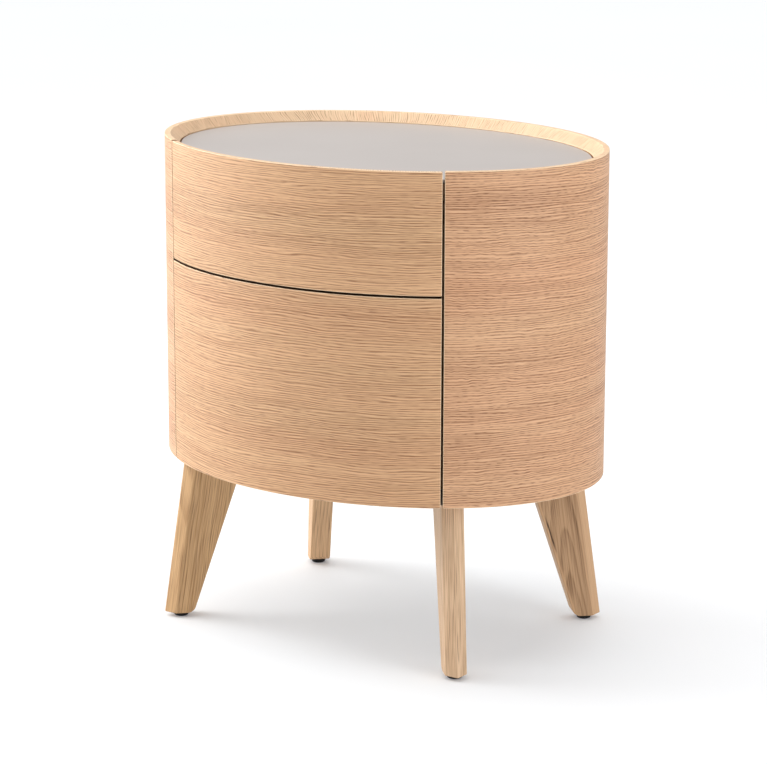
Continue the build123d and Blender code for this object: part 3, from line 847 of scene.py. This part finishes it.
def add_softbox(name, place, size, power, receivers=None):
    """A soft area light of so many watts; with receivers, it lights only what that collection lets it."""
    data = bpy.data.lights.new(name, "AREA")
    data.shape = "RECTANGLE"
    data.size, data.size_y = size
    data.energy = power
    light = bpy.data.objects.new(name, data)
    light.light_linking.receiver_collection = receivers
    light.location = place
    aim(light, LIGHT_TARGET - place)
    bpy.context.scene.collection.objects.link(light)


def build_lights(floor):
    """A key on the left and a fill on the right, both weaker on the floor, under a broad top light."""
    all_but_floor = bpy.data.collections.new("all_but_floor")
    all_but_floor.objects.link(floor)
    all_but_floor.collection_objects[0].light_linking.link_state = "EXCLUDE"
    add_softbox("key", KEY_PLACE + UP * 0.1, KEY_SIZE, 40)
    add_softbox("key_object", KEY_PLACE, KEY_SIZE, 42, all_but_floor)
    add_softbox("fill", FILL_PLACE, FILL_SIZE, 13)
    add_softbox("fill_object", FILL_PLACE, FILL_SIZE, 12, all_but_floor)

    sun = bpy.data.lights.new("top", "SUN")
    sun.energy = 1.6
    sun.angle = math.radians(70)
    top = bpy.data.objects.new("top", sun)
    aim(top, RIGHT * 0.2 + NEAR * 0.2 - UP)
    bpy.context.scene.collection.objects.link(top)

    world = bpy.data.worlds.new("studio")
    world.use_nodes = True
    world.node_tree.nodes["Background"].inputs["Color"].default_value = (1, 1, 1, 1)
    world.node_tree.nodes["Background"].inputs["Strength"].default_value = 0.60
    bpy.context.scene.world = world


def build_camera():
    """The photograph's camera."""
    scene = bpy.context.scene
    camera = bpy.data.objects.new("camera", bpy.data.cameras.new("camera"))
    camera.data.sensor_width = 36.0
    camera.data.lens = CAMERA_LENS
    camera.data.clip_end = 200
    camera.location = NEAR * CAMERA_DISTANCE + UP * CAMERA_HEIGHT
    aim(camera, -NEAR * math.cos(CAMERA_PITCH) - UP * math.sin(CAMERA_PITCH) + RIGHT * CAMERA_YAW)
    camera.rotation_quaternion = camera.rotation_quaternion @ Quaternion((0, 0, 1), CAMERA_ROLL)
    scene.collection.objects.link(camera)
    scene.camera = camera
    scene.view_settings.view_transform = "Standard"
    scene.view_settings.look = "None"


def build_stage():
    """A pale floor inside a white backdrop that lights nothing, with the lights and the camera."""
    corners = [Vector((x, y, 0)) * FLOOR_REACH for x, y in ((-1, -1), (1, -1), (1, 1), (-1, 1))]
    floor = mesh_piece("floor", corners, [(0, 1, 2, 3)], [floor_material()])
    dome = lathe("backdrop", backdrop_outline(), [Vector()], [glow_material()], 64)
    dome.visible_diffuse = dome.visible_glossy = dome.visible_transmission = dome.visible_shadow = False
    build_lights(floor)
    build_camera()


def backdrop_outline(steps=12):
    """Half a circle from near the floor to the top, as (radius, height) points."""
    turns = [math.radians(0.5 + 89.0 * step / steps) for step in range(steps + 1)]
    return [
        (BACKDROP_RADIUS * math.cos(turn), BACKDROP_RADIUS * math.sin(turn) - BACKDROP_DROP)
        for turn in turns
    ]


def glow_material():
    """An evenly lit white backdrop."""
    material = bpy.data.materials.new("backdrop_glow")
    material.use_nodes = True
    tree = material.node_tree
    tree.nodes.clear()
    glow = tree.nodes.new("ShaderNodeEmission")
    glow.inputs["Color"].default_value = (1, 1, 1, 1)
    out = tree.nodes.new("ShaderNodeOutputMaterial")
    tree.links.new(glow.outputs[0], out.inputs["Surface"])
    return material


def floor_material():
    """A pale, dull floor that glows faintly, so that it stays light away from the lamps."""
    n = Nodes("pale_floor")
    cloud = n.noise(object_point(n, 1.5), detail=1)
    n.shade(
        Base_Color=n.mix(n.spread(cloud), (0.80, 0.82, 0.83), (0.79, 0.81, 0.82)),
        Emission_Color=(0.13, 0.128, 0.138, 1),
        Emission_Strength=1.0,
        Roughness=0.6,
        Specular_IOR_Level=0.2,
    )
    return n.material


build_body()
build_glass()
for leg_name, leg_corner in CORNERS.items():
    build_leg(leg_name, leg_corner)
build_glides()
for drawer_name in FRONT_BOXES:
    build_spring(drawer_name)
finish_cad_nodes()
build_stage()
